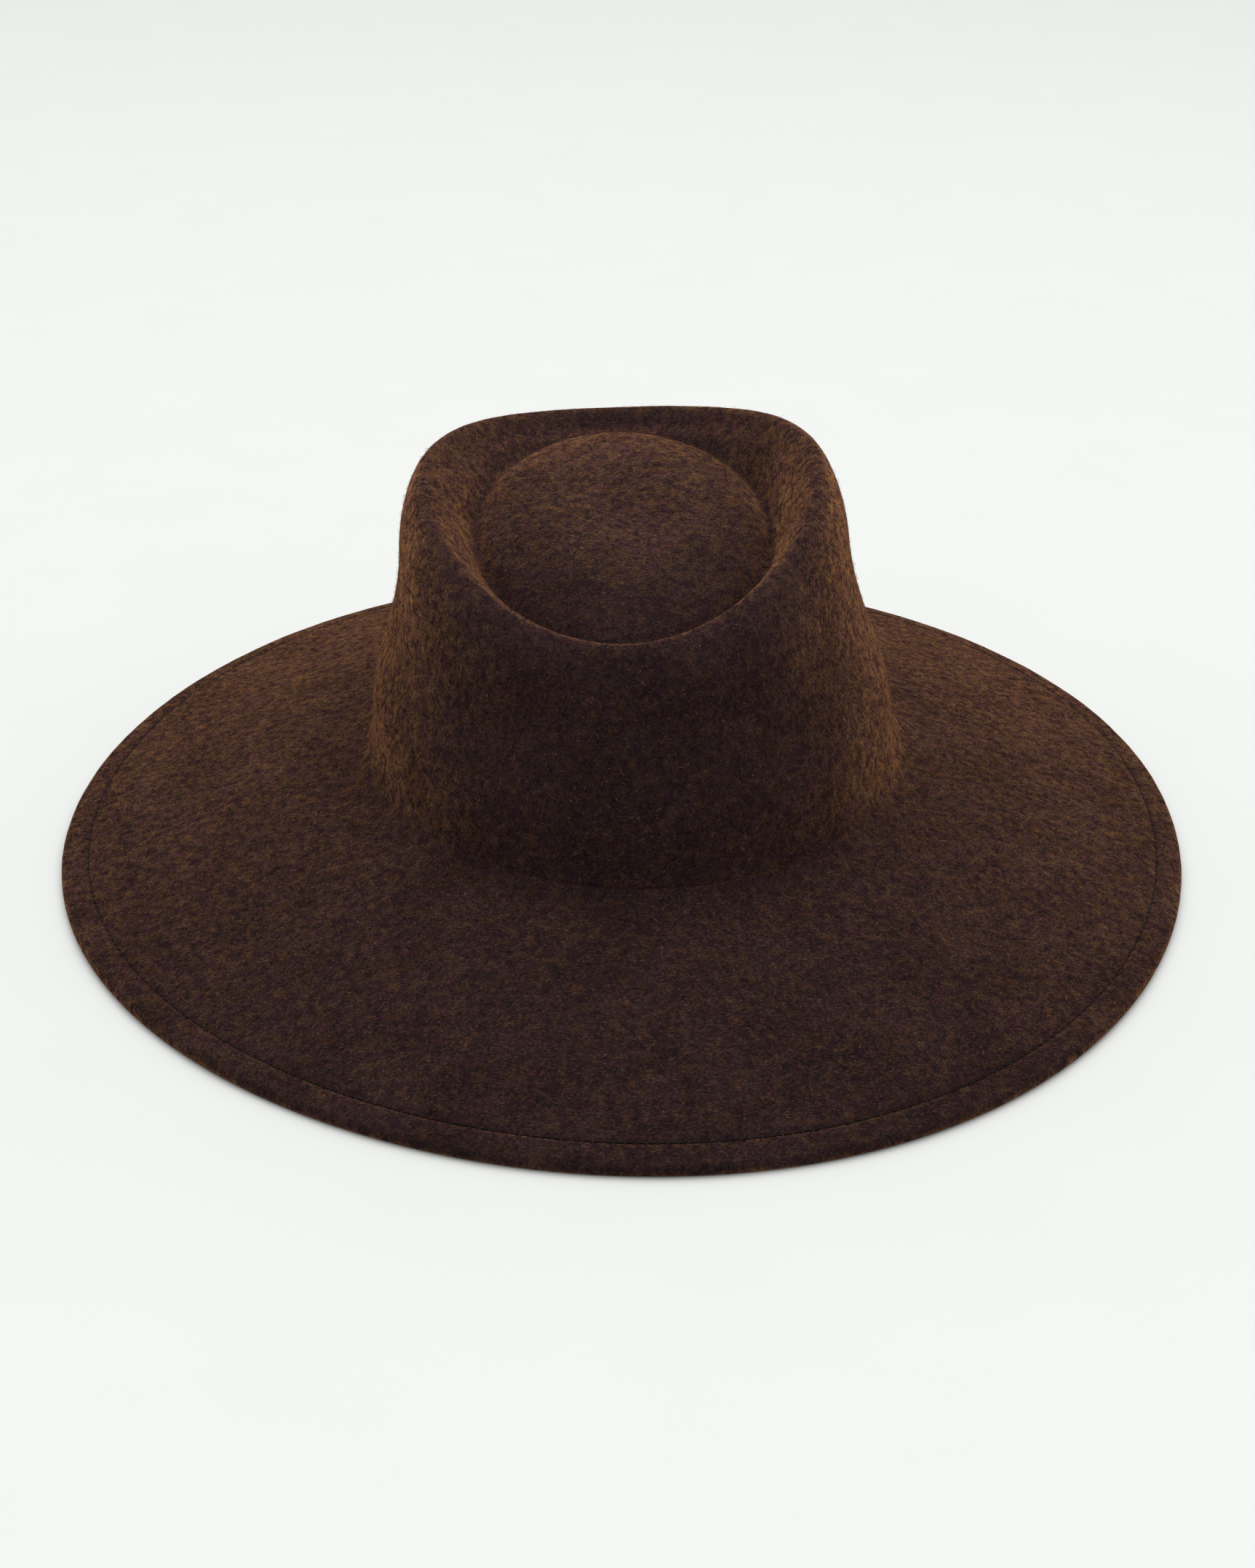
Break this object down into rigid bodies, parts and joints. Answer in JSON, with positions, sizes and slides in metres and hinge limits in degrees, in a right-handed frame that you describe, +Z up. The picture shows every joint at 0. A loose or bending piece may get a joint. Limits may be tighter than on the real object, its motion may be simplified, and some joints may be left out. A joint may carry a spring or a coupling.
{
  "type": "wide-brim felt hat",
  "caption": "Wide-brim wool felt hat with a telescope crown, a stitched turned-under brim edge and a reeded sweatband with a sliding size adjuster.",
  "frame": {"origin": "middle of the brim, on the surface that the brim edge rests on", "axes": "+Z up, +Y towards the front of the hat, +X towards the wearer's right"},
  "size_m": [0.3676, 0.3992, 0.1285],
  "materials": {
    "wool_felt": "mottled dark brown wool felt, matt, with a short fuzz",
    "steel_wire": "drawn spring wire, hidden",
    "thread": "dark brown polyester sewing thread",
    "grosgrain_band": "ribbed dark brown grosgrain",
    "reed_plastic": "extruded dark plastic, satin",
    "cotton_tape": "plain woven cotton tape",
    "satin_ribbon": "dark brown satin ribbon",
    "woven_label": "blank woven label, ecru",
    "loop_tape": "napped loop tape",
    "hook_tape": "woven nylon hook tape"
  },
  "bodies": {
    "hat": {"felt_body": "wool_felt", "brim_wire": "steel_wire", "brim_wire_joiner": "steel_wire", "brim_needle_thread": "thread", "brim_bobbin_thread": "thread", "sweatband": "grosgrain_band", "sweatband_reed": "reed_plastic", "reed_tape": "cotton_tape", "sweatband_thread": "thread", "sweatband_seam_tape": "cotton_tape", "sweatband_bow": "satin_ribbon", "size_label": "woven_label", "adjuster_loop_strip": "loop_tape"},
    "adjuster": {"adjuster_tab": "hook_tape"}
  },
  "joints": [
    {"name": "adjuster_slide", "type": "hinge", "parent": "hat", "child": "adjuster", "pos_m": [0.00194, -0.03367, 0.0507], "axis": [0, 0, 1], "range_deg": [-8, 8]}
  ]
}
